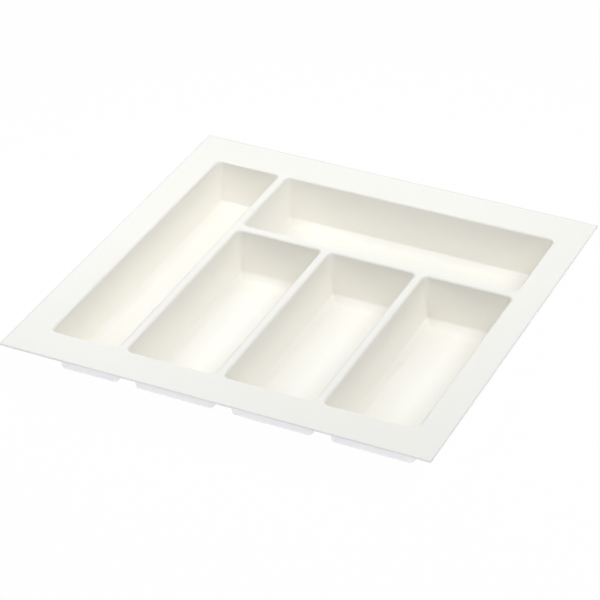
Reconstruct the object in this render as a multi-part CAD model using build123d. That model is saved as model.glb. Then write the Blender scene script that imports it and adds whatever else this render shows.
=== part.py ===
from build123d import *
import math
import os

# Cutlery tray: a drawer insert formed from one plastic sheet, with a wide flat flange to trim.
#
# The sheet has one thickness all over. It is modelled as the regions that a person would name: the
# flat rim, with the crests of the dividers, and five wells that hang from it. Each well is a cup with
# sloping walls, a bevel round its floor and a rolled lip, and meets the rim face to face at the outside
# of that lip. The dividers are hollow from below: a crest of the rim with a wall of the well on each
# side.
#
# X is to the right, Y away from the user and Z up. The origin is under the middle of the tray, on the
# plane that the wells stand on.

# The trimmed sheet
tray_width = 490.0
tray_depth = 490.0
sheet = 1.6
well_depth = 55.2

# Flat margins between the trimmed edge and the lips
left_flange = 33.4
right_flange = 30.8
front_flange = 42.2
back_flange = 45.8

# Wells, measured over their lips
long_well_width = 85.4
back_well_depth = 124.0
front_well_names = ("front_left_well", "front_middle_well", "front_right_well")

# Flat crests of the dividers
crest_width = 4.0
cross_crest_width = 5.3

# Shape of each well
wall_draft = 8.4
lip_under_radius = 1.4
lip_flat = 0.4
lip_corner_radius = 9.9
floor_bevel = 6.5
wall_foot_corner_radius = 3.0
floor_corner_radius = 0.8

# How far a cutting tool runs past what it cuts
overrun = 2.0

# Derived heights and radii
rim_top = well_depth + sheet
draft = math.radians(wall_draft)
lip_radius = lip_under_radius + sheet
wall_turn = math.radians(90) - draft
lip_run = lip_radius * math.tan(wall_turn / 2) + lip_flat
mouth_corner_radius = lip_corner_radius - lip_run


def well_cells():
    """Name each well and give its edges over the lips: left, right, front, back."""
    left = left_flange - tray_width / 2
    right = tray_width / 2 - right_flange
    front = front_flange - tray_depth / 2
    back = tray_depth / 2 - back_flange
    inner_left = left + long_well_width + crest_width
    cross_back = back - back_well_depth
    cross_front = cross_back - cross_crest_width
    count = len(front_well_names)
    front_width = (right - inner_left - (count - 1) * crest_width) / count
    cells = {
        "long_well": (left, left + long_well_width, front, back),
        "back_well": (inner_left, right, cross_back, back),
    }
    for index, name in enumerate(front_well_names):
        start = inner_left + index * (front_width + crest_width)
        cells[name] = (start, start + front_width, front, cross_front)
    return cells


def outline(cell, height, inset, radius):
    """A cell's rounded rectangle at a height, drawn in by inset on every side."""
    left, right, front, back = cell
    middle = Pos((left + right) / 2, (front + back) / 2, height)
    return middle * RectangleRounded(right - left - 2 * inset, back - front - 2 * inset, radius)


def wall_face(lower, upper):
    """The wall between two matching edges: flat between lines, a lofted corner between arcs."""
    if lower.geom_type == GeomType.LINE:
        ends = sorted([upper @ 0, upper @ 1], key=lambda end: (end - lower @ 1).length)
        return Face(Wire.make_polygon([lower @ 0, lower @ 1, *ends]))
    return Face.make_surface_from_curves(lower, upper)


def well_body(cell, skin, top):
    """Everything inside a well's surface, moved out by skin square to each face, up to a height."""
    floor = rim_top - well_depth - skin
    bevel = floor_bevel + skin * (math.tan(wall_turn / 2) - math.tan(wall_turn / 4))
    foot = floor + bevel * math.cos(draft)
    wall_shift = skin / math.cos(draft)
    bevel_shift = skin * math.tan(wall_turn / 4)

    def wall_inset(height):
        return lip_run - wall_shift + (rim_top - height) * math.tan(draft)

    foot_radius = wall_foot_corner_radius + wall_shift
    sections = [
        outline(cell, floor, wall_inset(floor) + bevel, floor_corner_radius + bevel_shift).face(),
        outline(cell, foot, wall_inset(foot), foot_radius).face(),
        outline(cell, top, wall_inset(top), mouth_corner_radius + wall_shift).face(),
    ]
    sides = [wall_face(edge, min(upper.edges(), key=lambda other: (other @ 0.5 - edge @ 0.5).length))
             for lower, upper in zip(sections, sections[1:]) for edge in lower.edges()]
    return Solid(Shell([sections[0], *sides, sections[-1]]))


def prism(cell, bottom, top, grow):
    """An upright block on a cell's lip outline, grown by grow."""
    base = outline(cell, bottom, -grow, lip_corner_radius + grow)
    return extrude(base, top - bottom, dir=(0, 0, 1))


def inner_edges(solid, height, facing):
    """The edges round the hole in the solid's flat face at a height."""
    flats = solid.faces().filter_by(Plane.XY)
    face = [f for f in flats if abs(f.center().Z - height) < sheet / 4 and f.normal_at().Z * facing > 0][0]
    return face.inner_wires().edges()


def make_well(cell):
    """One well: floor, sloping walls and rolled lip, cut square at the outside of the lip."""
    pad = prism(cell, rim_top - sheet, rim_top, overrun)
    cup = pad + well_body(cell, sheet, rim_top) - well_body(cell, 0, rim_top + overrun)
    cup = fillet(inner_edges(cup, rim_top, 1), lip_radius)
    cup = fillet(inner_edges(cup, rim_top - sheet, -1), lip_under_radius)
    return cup & prism(cell, -overrun, rim_top + overrun, 0)


def make_rim(cells):
    """The flat flange and divider crests: the trimmed sheet with a hole for each well."""
    rim = Pos(0, 0, rim_top - sheet / 2) * Box(tray_width, tray_depth, sheet)
    for cell in cells.values():
        rim -= prism(cell, rim_top - sheet - overrun, rim_top + overrun, 0)
    return rim


cells = well_cells()
parts = {name: make_well(cell) for name, cell in cells.items()}
parts["rim"] = make_rim(cells)

os.makedirs("parts", exist_ok=True)
for name, part in parts.items():
    solid = part.solid()
    solid.label = name
    export_step(solid, f"parts/{name}.step")
    print(f"{name}: {solid.volume:.0f} mm3")
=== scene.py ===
# %% [markdown]
# # A cutlery tray formed from one sheet
# The real object is a drawer insert. A sheet of white plastic is clamped at its edges, heated until it
# is soft, and sucked down over a mould, so the flat rim, the dividers and the five wells are one skin
# of nearly one thickness. It is then trimmed to the size of the drawer.
#
# Everything here follows from that: the skin is drawn first as a surface with no thickness, gets its
# thickness afterwards, and is cut square at its outer edge. The places of the wells come from the
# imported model, so nothing has to be fitted by hand.

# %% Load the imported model
import math

import bpy
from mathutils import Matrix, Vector


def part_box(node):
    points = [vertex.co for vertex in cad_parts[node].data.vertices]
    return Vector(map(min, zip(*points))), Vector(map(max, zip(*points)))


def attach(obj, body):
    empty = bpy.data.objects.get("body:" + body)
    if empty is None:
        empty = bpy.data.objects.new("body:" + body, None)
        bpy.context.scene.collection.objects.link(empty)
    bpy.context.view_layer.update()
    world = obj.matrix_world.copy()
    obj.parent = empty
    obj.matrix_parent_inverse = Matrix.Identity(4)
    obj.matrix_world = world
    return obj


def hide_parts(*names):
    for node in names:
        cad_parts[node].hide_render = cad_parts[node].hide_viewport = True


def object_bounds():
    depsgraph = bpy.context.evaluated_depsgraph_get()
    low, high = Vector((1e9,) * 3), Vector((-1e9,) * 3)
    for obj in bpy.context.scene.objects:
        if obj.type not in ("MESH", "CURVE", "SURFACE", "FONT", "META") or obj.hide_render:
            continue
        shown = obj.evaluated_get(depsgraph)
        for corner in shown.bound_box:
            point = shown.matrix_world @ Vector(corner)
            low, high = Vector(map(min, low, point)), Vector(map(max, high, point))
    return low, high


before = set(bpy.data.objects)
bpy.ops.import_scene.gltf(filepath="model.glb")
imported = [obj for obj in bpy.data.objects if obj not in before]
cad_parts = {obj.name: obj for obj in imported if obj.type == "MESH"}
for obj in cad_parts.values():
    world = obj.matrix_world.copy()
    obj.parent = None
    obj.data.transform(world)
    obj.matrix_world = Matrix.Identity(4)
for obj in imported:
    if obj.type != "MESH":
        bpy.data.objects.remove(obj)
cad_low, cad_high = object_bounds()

MM = 0.001
print("CAD box in mm:", [round(v / MM, 1) for v in (*cad_low, *cad_high)])

# %% [markdown]
# Two helpers serve the whole file. Colours are written as sRGB hex values, the way a paint chart or a
# screen gives them, and Blender's shaders work in linear light, so one function converts them. The
# other adds a node to a tree, with its settings and its links, for shaders and shapes alike.

# %% Helpers for colours and nodes
def linear(hex_colour):
    """The linear RGBA of an sRGB colour such as F7F4EA."""
    channels = [int(hex_colour[i:i + 2], 16) / 255 for i in (0, 2, 4)]
    return (*[c / 12.92 if c <= 0.04045 else ((c + 0.055) / 1.055) ** 2.4 for c in channels], 1.0)


def add_node(tree, kind, settings=(), links=()):
    """Add a node. Settings are its properties or input values, and links the sources of its inputs."""
    node = tree.nodes.new(kind)
    for name, value in dict(settings).items():
        if isinstance(name, str) and hasattr(node, name):
            setattr(node, name, value)
        else:
            node.inputs[name].default_value = value
    for name, source in dict(links).items():
        tree.links.new(source, node.inputs[name])
    return node


print("sRGB 808080 is", round(linear("808080")[0], 3), "in linear light")

# %% [markdown]
# ## White polystyrene, vacuum formed
# Such inserts are high impact polystyrene. It is a warm white, opaque and not quite matt where the sheet
# stays flat, because it keeps the fine grain of the rolls that made it. Where it was stretched into a
# well, the grain is drawn out and the surface turns smoother and glossier. So the roughness falls with
# depth below the rim, and the grain fades the same way. The first cell measures that depth.

# %% Formed sheet: how far it was stretched
WELL_DEPTH = 55.2 * MM
LIP_HEIGHT = 2 * MM

plastic = bpy.data.materials.new("vacuum_formed_white_polystyrene")
plastic.use_nodes = True
tree = plastic.node_tree
tree.nodes.clear()
place = add_node(tree, "ShaderNodeTexCoord")
height = add_node(tree, "ShaderNodeSeparateXYZ", links={"Vector": place.outputs["Object"]})
stretch = add_node(tree, "ShaderNodeMapRange",
                   {"From Min": cad_high.z - LIP_HEIGHT, "From Max": cad_high.z - WELL_DEPTH},
                   {"Value": height.outputs["Z"]})
print("stretched from", round(LIP_HEIGHT / MM, 1), "to", round(WELL_DEPTH / MM, 1), "mm below the rim")

# %% [markdown]
# A thin formed sheet is never quite flat. Broad, shallow swells a hand's width across make its
# reflections wander a little, and a bump with a scale of several centimetres gives that. The grain of
# the rolls lies over them, and also varies the gloss from spot to spot.

# %% Formed sheet: swells and grain
SWELL_WIDTH = 70 * MM
SWELL_HEIGHT = 0.5 * MM
SWELL_STRENGTH = 0.35
GRAIN_WIDTH = 0.9 * MM      # the real grain is finer than a pixel, so it is drawn a little coarser
GRAIN_HEIGHT = 0.05 * MM
FLAT_GRAIN, DRAWN_GRAIN = 0.12, 0.04
FLAT_ROUGHNESS, DRAWN_ROUGHNESS = 0.46, 0.30
MOTTLING = 0.10

swell = add_node(tree, "ShaderNodeTexNoise",
                 {"Scale": 1 / SWELL_WIDTH, "Detail": 1.0, "Roughness": 0.4},
                 {"Vector": place.outputs["Object"]})
swell_bump = add_node(tree, "ShaderNodeBump", {"Strength": SWELL_STRENGTH, "Distance": SWELL_HEIGHT},
                      {"Height": swell.outputs["Fac"]})
grain = add_node(tree, "ShaderNodeTexNoise",
                 {"Scale": 1 / GRAIN_WIDTH, "Detail": 3.0, "Roughness": 0.6},
                 {"Vector": place.outputs["Object"]})
grain_strength = add_node(tree, "ShaderNodeMapRange", {"To Min": FLAT_GRAIN, "To Max": DRAWN_GRAIN},
                          {"Value": stretch.outputs["Result"]})
grain_bump = add_node(tree, "ShaderNodeBump", {"Distance": GRAIN_HEIGHT},
                      {"Height": grain.outputs["Fac"], "Strength": grain_strength.outputs["Result"],
                       "Normal": swell_bump.outputs["Normal"]})
roughness = add_node(tree, "ShaderNodeMapRange", {"To Min": FLAT_ROUGHNESS, "To Max": DRAWN_ROUGHNESS},
                     {"Value": stretch.outputs["Result"]})
mottled = add_node(tree, "ShaderNodeMath", {"operation": "MULTIPLY_ADD", 1: MOTTLING},
                   {0: grain.outputs["Fac"], 2: roughness.outputs["Result"]})
print("swells", round(SWELL_WIDTH / MM), "mm and grain", round(GRAIN_WIDTH / MM, 1), "mm wide")

# %% [markdown]
# Beside the cut, a strip about a millimetre wide is made a little duller and painted slightly grey. The
# grey is painted shade, a thin dark line round the whole tray. Its mask is the distance to the outer edge.

# %% Formed sheet: the strip of painted shade along the edge
# width of the strip of painted shade beside the cut, and how softly it fades in
EDGE_SHADE_STRIP = 1.1 * MM
EDGE_SHADE_FADE = 0.3 * MM

unsigned = add_node(tree, "ShaderNodeVectorMath", {"operation": "ABSOLUTE"}, {0: place.outputs["Object"]})
past_edge = add_node(tree, "ShaderNodeVectorMath",
                     {"operation": "SUBTRACT", 1: (cad_high.x, cad_high.y, 0.0)},
                     {0: unsigned.outputs[0]})
sides = add_node(tree, "ShaderNodeSeparateXYZ", links={"Vector": past_edge.outputs[0]})
nearest = add_node(tree, "ShaderNodeMath", {"operation": "MAXIMUM"},
                   {0: sides.outputs["X"], 1: sides.outputs["Y"]})
# mask of the painted shade: 1 within about a millimetre of the outer edge
painted_edge_shade = add_node(tree, "ShaderNodeMapRange",
                  {"From Min": -EDGE_SHADE_STRIP - EDGE_SHADE_FADE, "From Max": -EDGE_SHADE_STRIP + EDGE_SHADE_FADE},
                  {"Value": nearest.outputs[0]})
print("rubbed strip", round(EDGE_SHADE_STRIP / MM, 1), "mm wide")

# %% [markdown]
# Opaque white plastic is a pale body under a clear gloss, and that is what the Principled shader models.
# So one shader is enough, with a refractive index near that of polystyrene. The roughness measured
# above goes to its gloss, and the strip of painted shade along the edge turns its colour a little grey.
# Light that spreads under the surface could be added, but a white sheet lets so little through that it
# wouldn't show.

# %% Formed sheet: the finish
SHEET_WHITE = "F7F3EA"
# painted shade: the grey of the thin dark line along the outer edge
EDGE_SHADE_GREY = "E4E2DA"
EDGE_STRIP_DULLING = 0.2
POLYSTYRENE_IOR = 1.55

# the base colour turns grey along the outer edge, as painted shade
colour = add_node(tree, "ShaderNodeMix",
                  {"data_type": "RGBA", 6: linear(SHEET_WHITE), 7: linear(EDGE_SHADE_GREY)},
                  {0: painted_edge_shade.outputs["Result"]})
dulled = add_node(tree, "ShaderNodeMath", {"operation": "MULTIPLY_ADD", 1: EDGE_STRIP_DULLING},
                  {0: painted_edge_shade.outputs["Result"], 2: mottled.outputs[0]})
surface = add_node(tree, "ShaderNodeBsdfPrincipled", {"IOR": POLYSTYRENE_IOR},
                   {"Base Color": colour.outputs[2], "Roughness": dulled.outputs[0],
                    "Normal": grain_bump.outputs["Normal"]})
add_node(tree, "ShaderNodeOutputMaterial", links={"Surface": surface.outputs["BSDF"]})
print("material", plastic.name, "with", len(tree.nodes), "nodes")

# %% [markdown]
# ## The trimmed edge
# The sheet is trimmed with a saw or a knife. The cut face is rougher than the formed skin and carries
# fine marks along its length. Its colour is painted a little greyer than the skin, as painted shade, so
# that it reads as a thin grey line. It gets a material of its own, with close streaks that run level.
# They are finer than a pixel, but the edge is so thin that coarser ones would no longer look like streaks.

# %% Material of the trimmed edge
# colour of the cut face, a little greyer than the skin: painted shade
CUT_SHADED_WHITE = "E9E7DF"
CUT_ROUGHNESS_LOW, CUT_ROUGHNESS_HIGH = 0.60, 0.80
STREAK_HEIGHT = 0.35 * MM
STREAK_DEPTH = 0.08 * MM
STREAK_STRENGTH = 0.5
STREAKS_PER_LENGTH = 0.02   # a streak is fifty times longer than it is high

cut = bpy.data.materials.new("saw_cut_polystyrene_edge")
cut.use_nodes = True
tree = cut.node_tree
tree.nodes.clear()
place = add_node(tree, "ShaderNodeTexCoord")
level = add_node(tree, "ShaderNodeMapping", {"Scale": (STREAKS_PER_LENGTH, STREAKS_PER_LENGTH, 1.0)},
                 {"Vector": place.outputs["Object"]})
streaks = add_node(tree, "ShaderNodeTexNoise", {"Scale": 1 / STREAK_HEIGHT, "Detail": 4.0},
                   {"Vector": level.outputs["Vector"]})
dull = add_node(tree, "ShaderNodeMapRange", {"To Min": CUT_ROUGHNESS_LOW, "To Max": CUT_ROUGHNESS_HIGH},
                {"Value": streaks.outputs["Fac"]})
streak_bump = add_node(tree, "ShaderNodeBump", {"Strength": STREAK_STRENGTH, "Distance": STREAK_DEPTH},
                       {"Height": streaks.outputs["Fac"]})
surface = add_node(tree, "ShaderNodeBsdfPrincipled",
                   {"Base Color": linear(CUT_SHADED_WHITE), "IOR": POLYSTYRENE_IOR},
                   {"Roughness": dull.outputs["Result"], "Normal": streak_bump.outputs["Normal"]})
add_node(tree, "ShaderNodeOutputMaterial", links={"Surface": surface.outputs["BSDF"]})
print("material", cut.name, "with", len(tree.nodes), "nodes")

# %% [markdown]
# ## The net
# A well is the same thing five times over: a rolled lip, a sloping wall, a bevelled bottom edge and a
# flat floor, carried round a rectangle with round corners. Seen as a net it is a tube of quads.
# Its columns go round the well and its rings go down the wall.
#
# The net is made here without any shape. Each point only carries what the shape rule needs to know:
# which way its column faces, which corner it belongs to, how far its ring has turned through the lip
# or the bottom edge, and whether it lies above the bevel. Geometry Nodes then put it in place.

# %% Columns and rings of a well
CORNER_STEPS = 14
LIP_STEPS = 8
EDGE_STEPS = 5
LIP_FLAT = 0.4 * MM
FLOOR_MARGIN = 0.6 * MM

columns = []
for corner, (sign_x, sign_y) in enumerate(((1, 1), (-1, 1), (-1, -1), (1, -1))):
    for step in range(CORNER_STEPS + 1):
        angle = math.radians(90) * (corner + step / CORNER_STEPS)
        columns.append(((math.cos(angle), math.sin(angle), 0.0), (sign_x, sign_y, 0.0)))

# each ring: +1 for the lip or -1 for the bottom edge, its share of the turn, 1 above the bevel, and a
# flat step outwards
rings = [(1.0, 0.0, 0.0, LIP_FLAT)]
rings += [(1.0, step / LIP_STEPS, 0.0, 0.0) for step in range(LIP_STEPS + 1)]
rings += [(-1.0, 1 - 0.5 * step / EDGE_STEPS, 1.0, 0.0) for step in range(EDGE_STEPS + 1)]
rings += [(-1.0, 0.5 - 0.5 * step / EDGE_STEPS, 0.0, 0.0) for step in range(EDGE_STEPS + 1)]
rings += [(-1.0, 0.0, 0.0, -FLOOR_MARGIN)]
print("each well has", len(columns), "columns and", len(rings), "rings")

# %% [markdown]
# The same columns and rings serve all five wells. Only a well's middle and its half size differ, and
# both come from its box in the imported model. The last ring is closed by one face, the flat floor.

# %% Net of the five wells
WELLS = ("long_well", "back_well", "front_left_well", "front_middle_well", "front_right_well")

vectors = {"facing": [], "corner": [], "half_size": [], "middle": []}
numbers = {"edge": [], "turn": [], "above_bevel": [], "step_out": []}
faces = []
count = len(columns)
for well in WELLS:
    low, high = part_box(well)
    middle = ((low.x + high.x) / 2, (low.y + high.y) / 2, 0.0)
    first = len(numbers["turn"])
    for ring in rings:
        for facing, corner in columns:
            for name, item in zip(vectors, (facing, corner, (high - low) / 2, middle)):
                vectors[name].append(item)
            for name, item in zip(numbers, ring):
                numbers[name].append(item)
    for ring in range(len(rings) - 1):
        for column in range(count):
            a = first + ring * count + column
            b = first + ring * count + (column + 1) % count
            faces.append((a, b, b + count, a + count))
    last = first + (len(rings) - 1) * count
    faces.append(tuple(range(last, last + count)))

net = bpy.data.meshes.new("net_of_wells")
net.from_pydata([(0.0, 0.0, 0.0)] * len(numbers["turn"]), [], faces)
for name, items in vectors.items():
    attribute = net.attributes.new(name, "FLOAT_VECTOR", "POINT")
    attribute.data.foreach_set("vector", [value for item in items for value in item])
for name, items in numbers.items():
    net.attributes.new(name, "FLOAT", "POINT").data.foreach_set("value", items)
sheet = bpy.data.objects.new("formed_sheet", net)
bpy.context.scene.collection.objects.link(sheet)
print("net of", len(WELLS), "wells:", len(net.vertices), "points and", len(faces), "faces")

# %% [markdown]
# ## The shape rule
# Think of a well's wall as a straight slope that meets the flat rim above and the flat floor below at
# sharp edges. Rolling a ball along the upper edge gives the lip: an arc through the angle between wall
# and rim, whose points lie at known distances out from the slope and down from the rim. The bottom edge
# is a bevel on the mould, with slightly rounded edges of its own. That is the same arc, cut in half,
# with the flat band of the bevel between its halves.
#
# The tree below is that rule, with the real sizes as named inputs. Its sums are a plain list, and one
# loop makes a node of each.

# %% Geometry Nodes tree: its named sizes
shape = bpy.data.node_groups.new("formed_skin", "GeometryNodeTree")
shape.interface.new_socket("Geometry", in_out="INPUT", socket_type="NodeSocketGeometry")
sizes = {
    "Well Depth": WELL_DEPTH,
    "Wall Draft": math.radians(8.4),
    "Lip Radius": 3.0 * MM,
    "Lip Flat": LIP_FLAT,
    "Lip Corner Radius": 9.9 * MM,
    "Floor Bevel": 6.5 * MM,
    "Bevel Edge Radius": 4.0 * MM,
    "Wall Foot Corner Radius": 3.0 * MM,
    "Floor Corner Radius": 0.8 * MM,
    "Sheet Width": cad_high.x - cad_low.x,
    "Sheet Depth": cad_high.y - cad_low.y,
    "Rim Height": cad_high.z,
}
for name in sizes:
    shape.interface.new_socket(name, in_out="INPUT", socket_type="NodeSocketFloat")
shape.interface.new_socket("Plastic", in_out="INPUT", socket_type="NodeSocketMaterial")
shape.interface.new_socket("Geometry", in_out="OUTPUT", socket_type="NodeSocketGeometry")
given = add_node(shape, "NodeGroupInput").outputs
carried = {name: add_node(shape, "GeometryNodeInputNamedAttribute",
                          {"data_type": "FLOAT_VECTOR", "Name": name}).outputs[0] for name in vectors}
carried |= {name: add_node(shape, "GeometryNodeInputNamedAttribute", {"Name": name}).outputs[0]
            for name in numbers}
print("tree", shape.name, "takes", len(sizes), "sizes and reads", len(carried), "values at each point")

# %% [markdown]
# Each row below is one sum: its name, its operation, and its terms, which are numbers or the names of
# earlier results. A reader can check it line by line against a sketch of the section.
#
# A mould cutter leaves corners that tighten towards the foot of the wall, so the corner's radius falls
# with depth, and its centre moves to suit. These first sums are the same for every point.

# %% Sums for the lip and the corners
sums = [
    # the lip's run over the sharp edge of the mouth
    ("lip_half_turn", "MULTIPLY_ADD", "Wall Draft", -0.5, math.radians(45)),
    ("lip_tangent", "TANGENT", "lip_half_turn"),
    ("lip_run", "MULTIPLY_ADD", "lip_tangent", "Lip Radius", "Lip Flat"),
    ("mouth_radius", "SUBTRACT", "Lip Corner Radius", "lip_run"),
    # how much a corner's radius changes, and how far its centre moves in, down to the floor's level
    ("draft_cosine", "COSINE", "Wall Draft"),
    ("foot_height", "MULTIPLY", "Floor Bevel", "draft_cosine"),
    ("foot_depth", "SUBTRACT", "Well Depth", "foot_height"),
    ("foot_share", "DIVIDE", "foot_depth", "Well Depth"),
    ("foot_growth", "SUBTRACT", "Wall Foot Corner Radius", "mouth_radius"),
    ("growth", "DIVIDE", "foot_growth", "foot_share"),
    ("draft_tangent", "TANGENT", "Wall Draft"),
    ("drift", "MULTIPLY_ADD", "draft_tangent", "Well Depth", "growth"),
]
print(len(sums), "sums for the lip and the corners")

# %% [markdown]
# The wall under a corner leans a little less than the flat walls do, so its lean is worked out for each
# column. The angle between wall and flats then gives the arc that each ring lies on. The bevel is an
# arc too, parted in the middle by its flat band.

# %% Sums for the arc of each ring
sums += [
    # the slope of the wall under each column, and the angle between that wall and the flats
    ("run_in", "MULTIPLY", "drift", "reach"),
    ("moved_in", "SUBTRACT", "run_in", "growth"),
    ("slope", "DIVIDE", "moved_in", "Well Depth"),
    ("lean", "ARCTANGENT", "slope"),
    ("full_turn", "SUBTRACT", math.radians(90), "lean"),
    ("half_turn", "MULTIPLY", "full_turn", 0.5),
    ("quarter_turn", "MULTIPLY", "full_turn", 0.25),
    ("half_cosine", "COSINE", "half_turn"),
    ("half_sine", "SINE", "half_turn"),
    ("half_tangent", "TANGENT", "half_turn"),
    ("quarter_tangent", "TANGENT", "quarter_turn"),
    # half the width of the bevel's flat band, which the lip doesn't have
    ("is_lip", "MULTIPLY_ADD", "edge", 0.5, 0.5),
    ("is_floor", "SUBTRACT", 1.0, "is_lip"),
    ("half_bevel", "MULTIPLY", "Floor Bevel", "half_cosine"),
    ("rounding", "MULTIPLY", "Bevel Edge Radius", "quarter_tangent"),
    ("half_flat", "SUBTRACT", "half_bevel", "rounding"),
    ("half_band", "MULTIPLY", "half_flat", "is_floor"),
    ("band", "MULTIPLY", "half_band", 2.0),
    # the arc at each ring: how far from the sharp edge along the flat, and how far from the flat
    ("radius_gap", "SUBTRACT", "Lip Radius", "Bevel Edge Radius"),
    ("arc_radius", "MULTIPLY_ADD", "is_lip", "radius_gap", "Bevel Edge Radius"),
    ("angle", "MULTIPLY", "turn", "full_turn"),
    ("sine", "SINE", "angle"),
    ("cosine", "COSINE", "angle"),
    ("along_arc", "SUBTRACT", "half_tangent", "sine"),
    ("off_arc", "SUBTRACT", 1.0, "cosine"),
    ("band_run", "DIVIDE", "half_band", "half_cosine"),
    ("passed", "MULTIPLY", "band", "above_bevel"),
    ("passed_run", "MULTIPLY", "passed", "half_cosine"),
    ("band_left", "SUBTRACT", "band_run", "passed_run"),
    ("along", "MULTIPLY_ADD", "along_arc", "arc_radius", "band_left"),
    ("passed_rise", "MULTIPLY", "passed", "half_sine"),
    ("off", "MULTIPLY_ADD", "off_arc", "arc_radius", "passed_rise"),
]
print(len(sums), "sums with those for the arcs")

# %% [markdown]
# The last sums turn the place on the arc into a depth below the rim and a distance out from the wall's
# slope, and find the corner's radius and centre at that depth.

# %% Sums for the place of each point
sums += [
    # the point's distance out from the slope, and its depth below the rim
    ("away", "MULTIPLY_ADD", "off", "slope", "along"),
    ("outwards", "MULTIPLY_ADD", "away", "edge", "step_out"),
    ("flat_depth", "MULTIPLY", "is_floor", "Well Depth"),
    ("depth", "MULTIPLY_ADD", "off", "edge", "flat_depth"),
    ("drop", "MULTIPLY", "depth", -1.0),
    # the corner at that depth: its radius can't fall below the smallest one, and its centre gives way
    ("share", "DIVIDE", "depth", "Well Depth"),
    ("wall_radius", "MULTIPLY_ADD", "growth", "share", "mouth_radius"),
    ("drawn_radius", "ADD", "wall_radius", "outwards"),
    ("radius", "MAXIMUM", "drawn_radius", "Floor Corner Radius"),
    ("give", "SUBTRACT", "radius", "drawn_radius"),
    ("wall_inset", "MULTIPLY_ADD", "drift", "share", "Lip Corner Radius"),
    ("corner_inset", "ADD", "wall_inset", "give"),
]
print(len(sums), "sums in all")

# %% [markdown]
# Every sum becomes one math node. A number in a row is set on the node, and a name is linked to the
# result that it stands for. A column's reach is 1 on a straight wall and up to 1.41 across a corner,
# because a corner's centre moves in from two walls at once.

# %% Geometry Nodes tree: one node for each sum
unsigned = add_node(shape, "ShaderNodeVectorMath", {"operation": "ABSOLUTE"}, {0: carried["facing"]})
reach = add_node(shape, "ShaderNodeVectorMath", {"operation": "DOT_PRODUCT", 1: (1.0, 1.0, 0.0)},
                 {0: unsigned.outputs[0]})
results = {name: given[name] for name in sizes} | carried | {"reach": reach.outputs["Value"]}
for name, operation, *terms in sums:
    fixed = {index: term for index, term in enumerate(terms) if not isinstance(term, str)}
    linked = {index: results[term] for index, term in enumerate(terms) if isinstance(term, str)}
    results[name] = add_node(shape, "ShaderNodeMath", {"operation": operation, **fixed}, linked).outputs[0]
print("tree", shape.name, "holds", len(results), "results")

# %% [markdown]
# A point's place in plan is its corner's centre plus the radius at its depth, in the direction that its
# column faces. Two columns that face the same way on two corners hold a straight wall between them, so
# straight and round stretches need no separate rules.

# %% Geometry Nodes tree: every point in place
inset = add_node(shape, "ShaderNodeCombineXYZ",
                 links={"X": results["corner_inset"], "Y": results["corner_inset"]})
reduced = add_node(shape, "ShaderNodeVectorMath", {"operation": "SUBTRACT"},
                   {0: carried["half_size"], 1: inset.outputs[0]})
centre = add_node(shape, "ShaderNodeVectorMath", {"operation": "MULTIPLY_ADD"},
                  {0: carried["corner"], 1: reduced.outputs[0], 2: carried["middle"]})
arm = add_node(shape, "ShaderNodeVectorMath", {"operation": "SCALE"},
               {0: carried["facing"], "Scale": results["radius"]})
level_point = add_node(shape, "ShaderNodeVectorMath", {"operation": "ADD"},
                       {0: centre.outputs[0], 1: arm.outputs[0]})
down = add_node(shape, "ShaderNodeCombineXYZ", links={"Z": results["drop"]})
point = add_node(shape, "ShaderNodeVectorMath", {"operation": "ADD"},
                 {0: level_point.outputs[0], 1: down.outputs[0]})
wells = add_node(shape, "GeometryNodeSetPosition",
                 links={"Geometry": given["Geometry"], "Position": point.outputs[0]})
print("tree", shape.name, "with", len(shape.nodes), "nodes so far")

# %% [markdown]
# The rim and the crests of the dividers are one flat face with five holes. Curves from the open edges
# of the wells give the holes, and a rectangle the trimmed outline, so the deck can never miss a lip.

# %% Geometry Nodes tree: the deck
SAME_POINT = 0.01 * MM

neighbours = add_node(shape, "GeometryNodeInputMeshEdgeNeighbors")
is_open = add_node(shape, "FunctionNodeCompare", {"data_type": "INT", "operation": "EQUAL", 3: 1},
                   {2: neighbours.outputs["Face Count"]})
mouths = add_node(shape, "GeometryNodeMeshToCurve",
                  links={"Mesh": wells.outputs["Geometry"], "Selection": is_open.outputs["Result"]})
trim = add_node(shape, "GeometryNodeCurvePrimitiveQuadrilateral",
                links={"Width": given["Sheet Width"], "Height": given["Sheet Depth"]})
outlines = add_node(shape, "GeometryNodeJoinGeometry")
for source in (mouths.outputs["Curve"], trim.outputs["Curve"]):
    shape.links.new(source, outlines.inputs["Geometry"])
deck = add_node(shape, "GeometryNodeFillCurve", links={"Curve": outlines.outputs["Geometry"]})
joined = add_node(shape, "GeometryNodeJoinGeometry")
for source in (wells.outputs["Geometry"], deck.outputs["Mesh"]):
    shape.links.new(source, joined.inputs["Geometry"])
merged = add_node(shape, "GeometryNodeMergeByDistance", {"Distance": SAME_POINT},
                  {"Geometry": joined.outputs["Geometry"]})
print("points closer than", round(SAME_POINT / MM, 2), "mm are merged")

# %% [markdown]
# So far the rim lies at zero height. It is lifted to its place, and the tree ends as every tree does
# whose result is exported: real geometry with its material.

# %% Geometry Nodes tree: the finished skin
rise = add_node(shape, "ShaderNodeCombineXYZ", links={"Z": given["Rim Height"]})
raised = add_node(shape, "GeometryNodeSetPosition",
                  links={"Geometry": merged.outputs["Geometry"], "Offset": rise.outputs[0]})
realized = add_node(shape, "GeometryNodeRealizeInstances", links={"Geometry": raised.outputs["Geometry"]})
finished = add_node(shape, "GeometryNodeSetMaterial",
                    links={"Geometry": realized.outputs["Geometry"], "Material": given["Plastic"]})
add_node(shape, "NodeGroupOutput", links={"Geometry": finished.outputs["Geometry"]})
print("tree", shape.name, "with", len(shape.nodes), "nodes")

# %% [markdown]
# The modifier's inputs are set by their sockets' identifiers before the object is evaluated for the
# first time. The evaluated result then replaces the net as a plain mesh.

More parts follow.
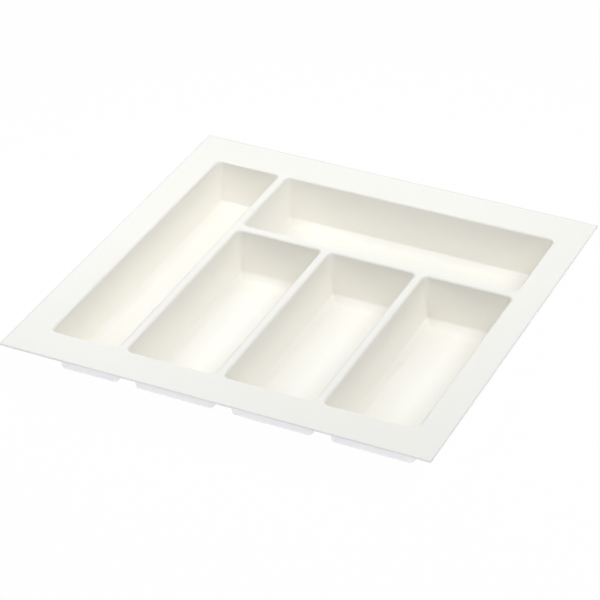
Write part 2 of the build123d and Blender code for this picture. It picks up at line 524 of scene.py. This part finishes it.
# %% Form the skin
modifier = sheet.modifiers.new("form", "NODES")
modifier.node_group = shape
sockets = {item.name: item.identifier for item in shape.interface.items_tree if item.in_out == "INPUT"}
for name, size in sizes.items():
    modifier[sockets[name]] = size
modifier[sockets["Plastic"]] = plastic
skin = bpy.data.meshes.new_from_object(sheet.evaluated_get(bpy.context.evaluated_depsgraph_get()))
sheet.modifiers.remove(modifier)
sheet.data = skin
turned_over = sum(1 for polygon in skin.polygons if polygon.normal.z < 0)
print("skin:", len(skin.vertices), "points,", len(skin.polygons), "faces,", turned_over, "turned over")

# %% [markdown]
# ## Thickness
# Solidify gives the skin its 1.6 mm, all of it below the face that was drawn, so the mouths keep their
# size and the floors end up standing on the drawer. The faces it adds round the outer edge take the
# second material, the cut one. Smooth shading is right for formed plastic, and edges sharper than
# 40 degrees, which are only those of the cut, stay crisp.

# %% Give the skin its thickness
SHEET_THICKNESS = 1.6 * MM
CRISP_ANGLE = math.radians(40)

skin.materials.clear()
skin.materials.append(plastic)
skin.materials.append(cut)
thickness = sheet.modifiers.new("thickness", "SOLIDIFY")
thickness.thickness = SHEET_THICKNESS
thickness.offset = -1.0
thickness.use_even_offset = True
thickness.use_quality_normals = True
thickness.material_offset_rim = 1
solid = bpy.data.meshes.new_from_object(sheet.evaluated_get(bpy.context.evaluated_depsgraph_get()))
sheet.modifiers.remove(thickness)
sheet.data = solid
solid.name = "formed_sheet"
solid.shade_smooth()
solid.set_sharp_from_angle(angle=CRISP_ANGLE)
spans = [max(v.co[axis] for v in solid.vertices) - min(v.co[axis] for v in solid.vertices)
         for axis in range(3)]
print("solid sheet in mm:", [round(span / MM, 2) for span in spans], "with", len(solid.polygons), "faces")

# %% [markdown]
# The real sheet is one moulding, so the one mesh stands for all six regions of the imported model. Those
# stay behind it for collisions. Nothing on the tray moves, and it rides on the one body there is.

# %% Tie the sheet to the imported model
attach(sheet, "root")
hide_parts("rim", *WELLS)
print(sheet.name, "stands for", ("rim", *WELLS))

# %% [markdown]
# ## Where it stands
# The tray stands on a sheet of pale paper. Product photographers light such a sheet from beneath, so
# that it stays white under the object, and the undersides of the wells show it here: they are nearly as
# light as the rim. So the paper glows a little of its own, besides the light that it throws back. It
# lies lower than the tray, so this glow reaches only the undersides and the cut edge.
#
# Seen by the camera the paper is almost pure white, and keeps only a soft shadow.

# %% Floor
FLOOR_WHITE = "EFEEF4"
FLOOR_GLOW = 0.70
GLOW_WHITE = "E2E5F8"
FLOOR_SIZE = 12.0
FLOOR_GAP = 0.1 * MM
PLAIN_WHITE_SHARE = 0.975   # the rest of what the camera sees is the shaded paper

bpy.ops.mesh.primitive_plane_add(size=FLOOR_SIZE, location=(0.0, 0.0, cad_low.z - FLOOR_GAP))
floor = bpy.context.object
floor.name = "studio_floor"
paper = bpy.data.materials.new("white_studio_paper")
paper.use_nodes = True
tree = paper.node_tree
tree.nodes.clear()
ray = add_node(tree, "ShaderNodeLightPath")
seen = add_node(tree, "ShaderNodeMath", {"operation": "MAXIMUM"},
                {0: ray.outputs["Is Camera Ray"], 1: ray.outputs["Is Glossy Ray"]})
shaded = add_node(tree, "ShaderNodeBsdfDiffuse", {"Color": linear(FLOOR_WHITE)})
glow = add_node(tree, "ShaderNodeEmission", {"Color": linear(GLOW_WHITE), "Strength": FLOOR_GLOW})
lit = add_node(tree, "ShaderNodeAddShader", links={0: shaded.outputs[0], 1: glow.outputs[0]})
bright = add_node(tree, "ShaderNodeEmission", {"Color": linear("FFFFFF"), "Strength": 1.0})
soft_shadow = add_node(tree, "ShaderNodeMixShader", {"Fac": PLAIN_WHITE_SHARE},
                       {1: shaded.outputs[0], 2: bright.outputs[0]})
chosen = add_node(tree, "ShaderNodeMixShader",
                  links={"Fac": seen.outputs[0], 1: lit.outputs[0], 2: soft_shadow.outputs[0]})
add_node(tree, "ShaderNodeOutputMaterial", links={"Surface": chosen.outputs[0]})
floor.data.materials.append(paper)
print("floor:", FLOOR_SIZE, "m square,", paper.name, "with a glow of", FLOOR_GLOW)

# %% [markdown]
# ## Light
# The photograph has the soft, even light of a product shot. The faces turned to the camera are the
# darkest and the flat ones grow lighter towards the back left. Next to the left walls of the wells the
# floors lie in a soft shadow, so a key light stands high on the left, and a second one over the right
# balances it. The others are weak fills from the front, the left and behind. The floors of the wells
# are as light as the rim or lighter, because their walls throw light at them. That needs nothing here:
# a white object does it by itself.
#
# Each lamp is a square softbox, given by its place, its width and its power. The outsides of the wells,
# which show from behind, meet the fills there almost squarely. So these fills stay weak, and the tray
# keeps its outline from there too.

# %% Softboxes
SOFTBOX_WHITE = "F7FBFF"
softboxes = {
    "key_high_left": ((-1.46, -1.2, 4.8), 0.8, 27.3),
    "key_over_right": ((1.5, 0.0, 2.2), 1.2, 36.5),
    "front_fill": ((0.0, -1.8, 1.2), 1.0, 8.2),
    "high_front_fill": ((0.0, -1.5, 2.2), 1.4, 3.0),
    "behind_left_fill": ((-1.4, 1.4, 1.4), 1.2, 7.9),
    "low_behind_fill": ((0.0, 2.4, 0.8), 1.4, 6.1),
    "near_left": ((-0.45, 0.1, 0.7), 0.4, 1.9),
    "near_behind": ((0.1, 0.45, 0.6), 0.6, 1.0),
}
rim_middle = Vector((0.0, 0.0, cad_high.z))
for name, (place, width, power) in softboxes.items():
    lamp = bpy.data.lights.new(name, "AREA")
    lamp.shape = "SQUARE"
    lamp.size = width
    lamp.energy = power
    lamp.color = linear(SOFTBOX_WHITE)[:3]
    stand = bpy.data.objects.new(name, lamp)
    stand.location = place
    stand.rotation_euler = (rim_middle - Vector(place)).to_track_quat("-Z", "Y").to_euler()
    bpy.context.scene.collection.objects.link(stand)
    print(f"{name}: {width} m wide, {power} W")

# %% [markdown]
# The world gives the pure white behind everything, and only the camera sees it: a pale backdrop must not
# add light to the object.

# %% World
world = bpy.data.worlds.new("studio")
bpy.context.scene.world = world
world.use_nodes = True
tree = world.node_tree
tree.nodes.clear()
ray = add_node(tree, "ShaderNodeLightPath")
fill = add_node(tree, "ShaderNodeBackground", {"Color": linear("FFFFFF"), "Strength": 0.0})
backdrop = add_node(tree, "ShaderNodeBackground", {"Color": linear("FFFFFF"), "Strength": 1.0})
chosen = add_node(tree, "ShaderNodeMixShader",
                  links={"Fac": ray.outputs["Is Camera Ray"], 1: fill.outputs[0], 2: backdrop.outputs[0]})
add_node(tree, "ShaderNodeOutputWorld", links={"Surface": chosen.outputs[0]})
print("world:", world.name, "with", len(tree.nodes), "nodes, white to the camera alone")

# %% [markdown]
# ## Camera
# A long lens from the front right, about a third of the way up from level. Its distance and focal length
# were found from the way the rim's parallel edges draw together in the photograph.

# %% Camera
CAMERA_AIM = Vector((5.5, -35.8, 56.8)) * MM
CAMERA_AZIMUTH = 24.99
CAMERA_ELEVATION = 33.09
CAMERA_DISTANCE = 2763 * MM
FOCAL_LENGTH = 154.0        # Blender takes it in millimetres
FARTHEST_SEEN = 50.0

turned, raised_by = math.radians(CAMERA_AZIMUTH), math.radians(CAMERA_ELEVATION)
back = Vector((math.sin(turned) * math.cos(raised_by), -math.cos(turned) * math.cos(raised_by),
               math.sin(raised_by)))
lens = bpy.data.cameras.new("camera")
lens.lens = FOCAL_LENGTH
lens.clip_end = FARTHEST_SEEN
camera = bpy.data.objects.new("camera", lens)
camera.location = CAMERA_AIM + back * CAMERA_DISTANCE
camera.rotation_euler = (-back).to_track_quat("-Z", "Y").to_euler()
bpy.context.scene.collection.objects.link(camera)
bpy.context.scene.camera = camera
bpy.context.scene.view_settings.view_transform = "Standard"
print("camera at", [round(v, 3) for v in camera.location])
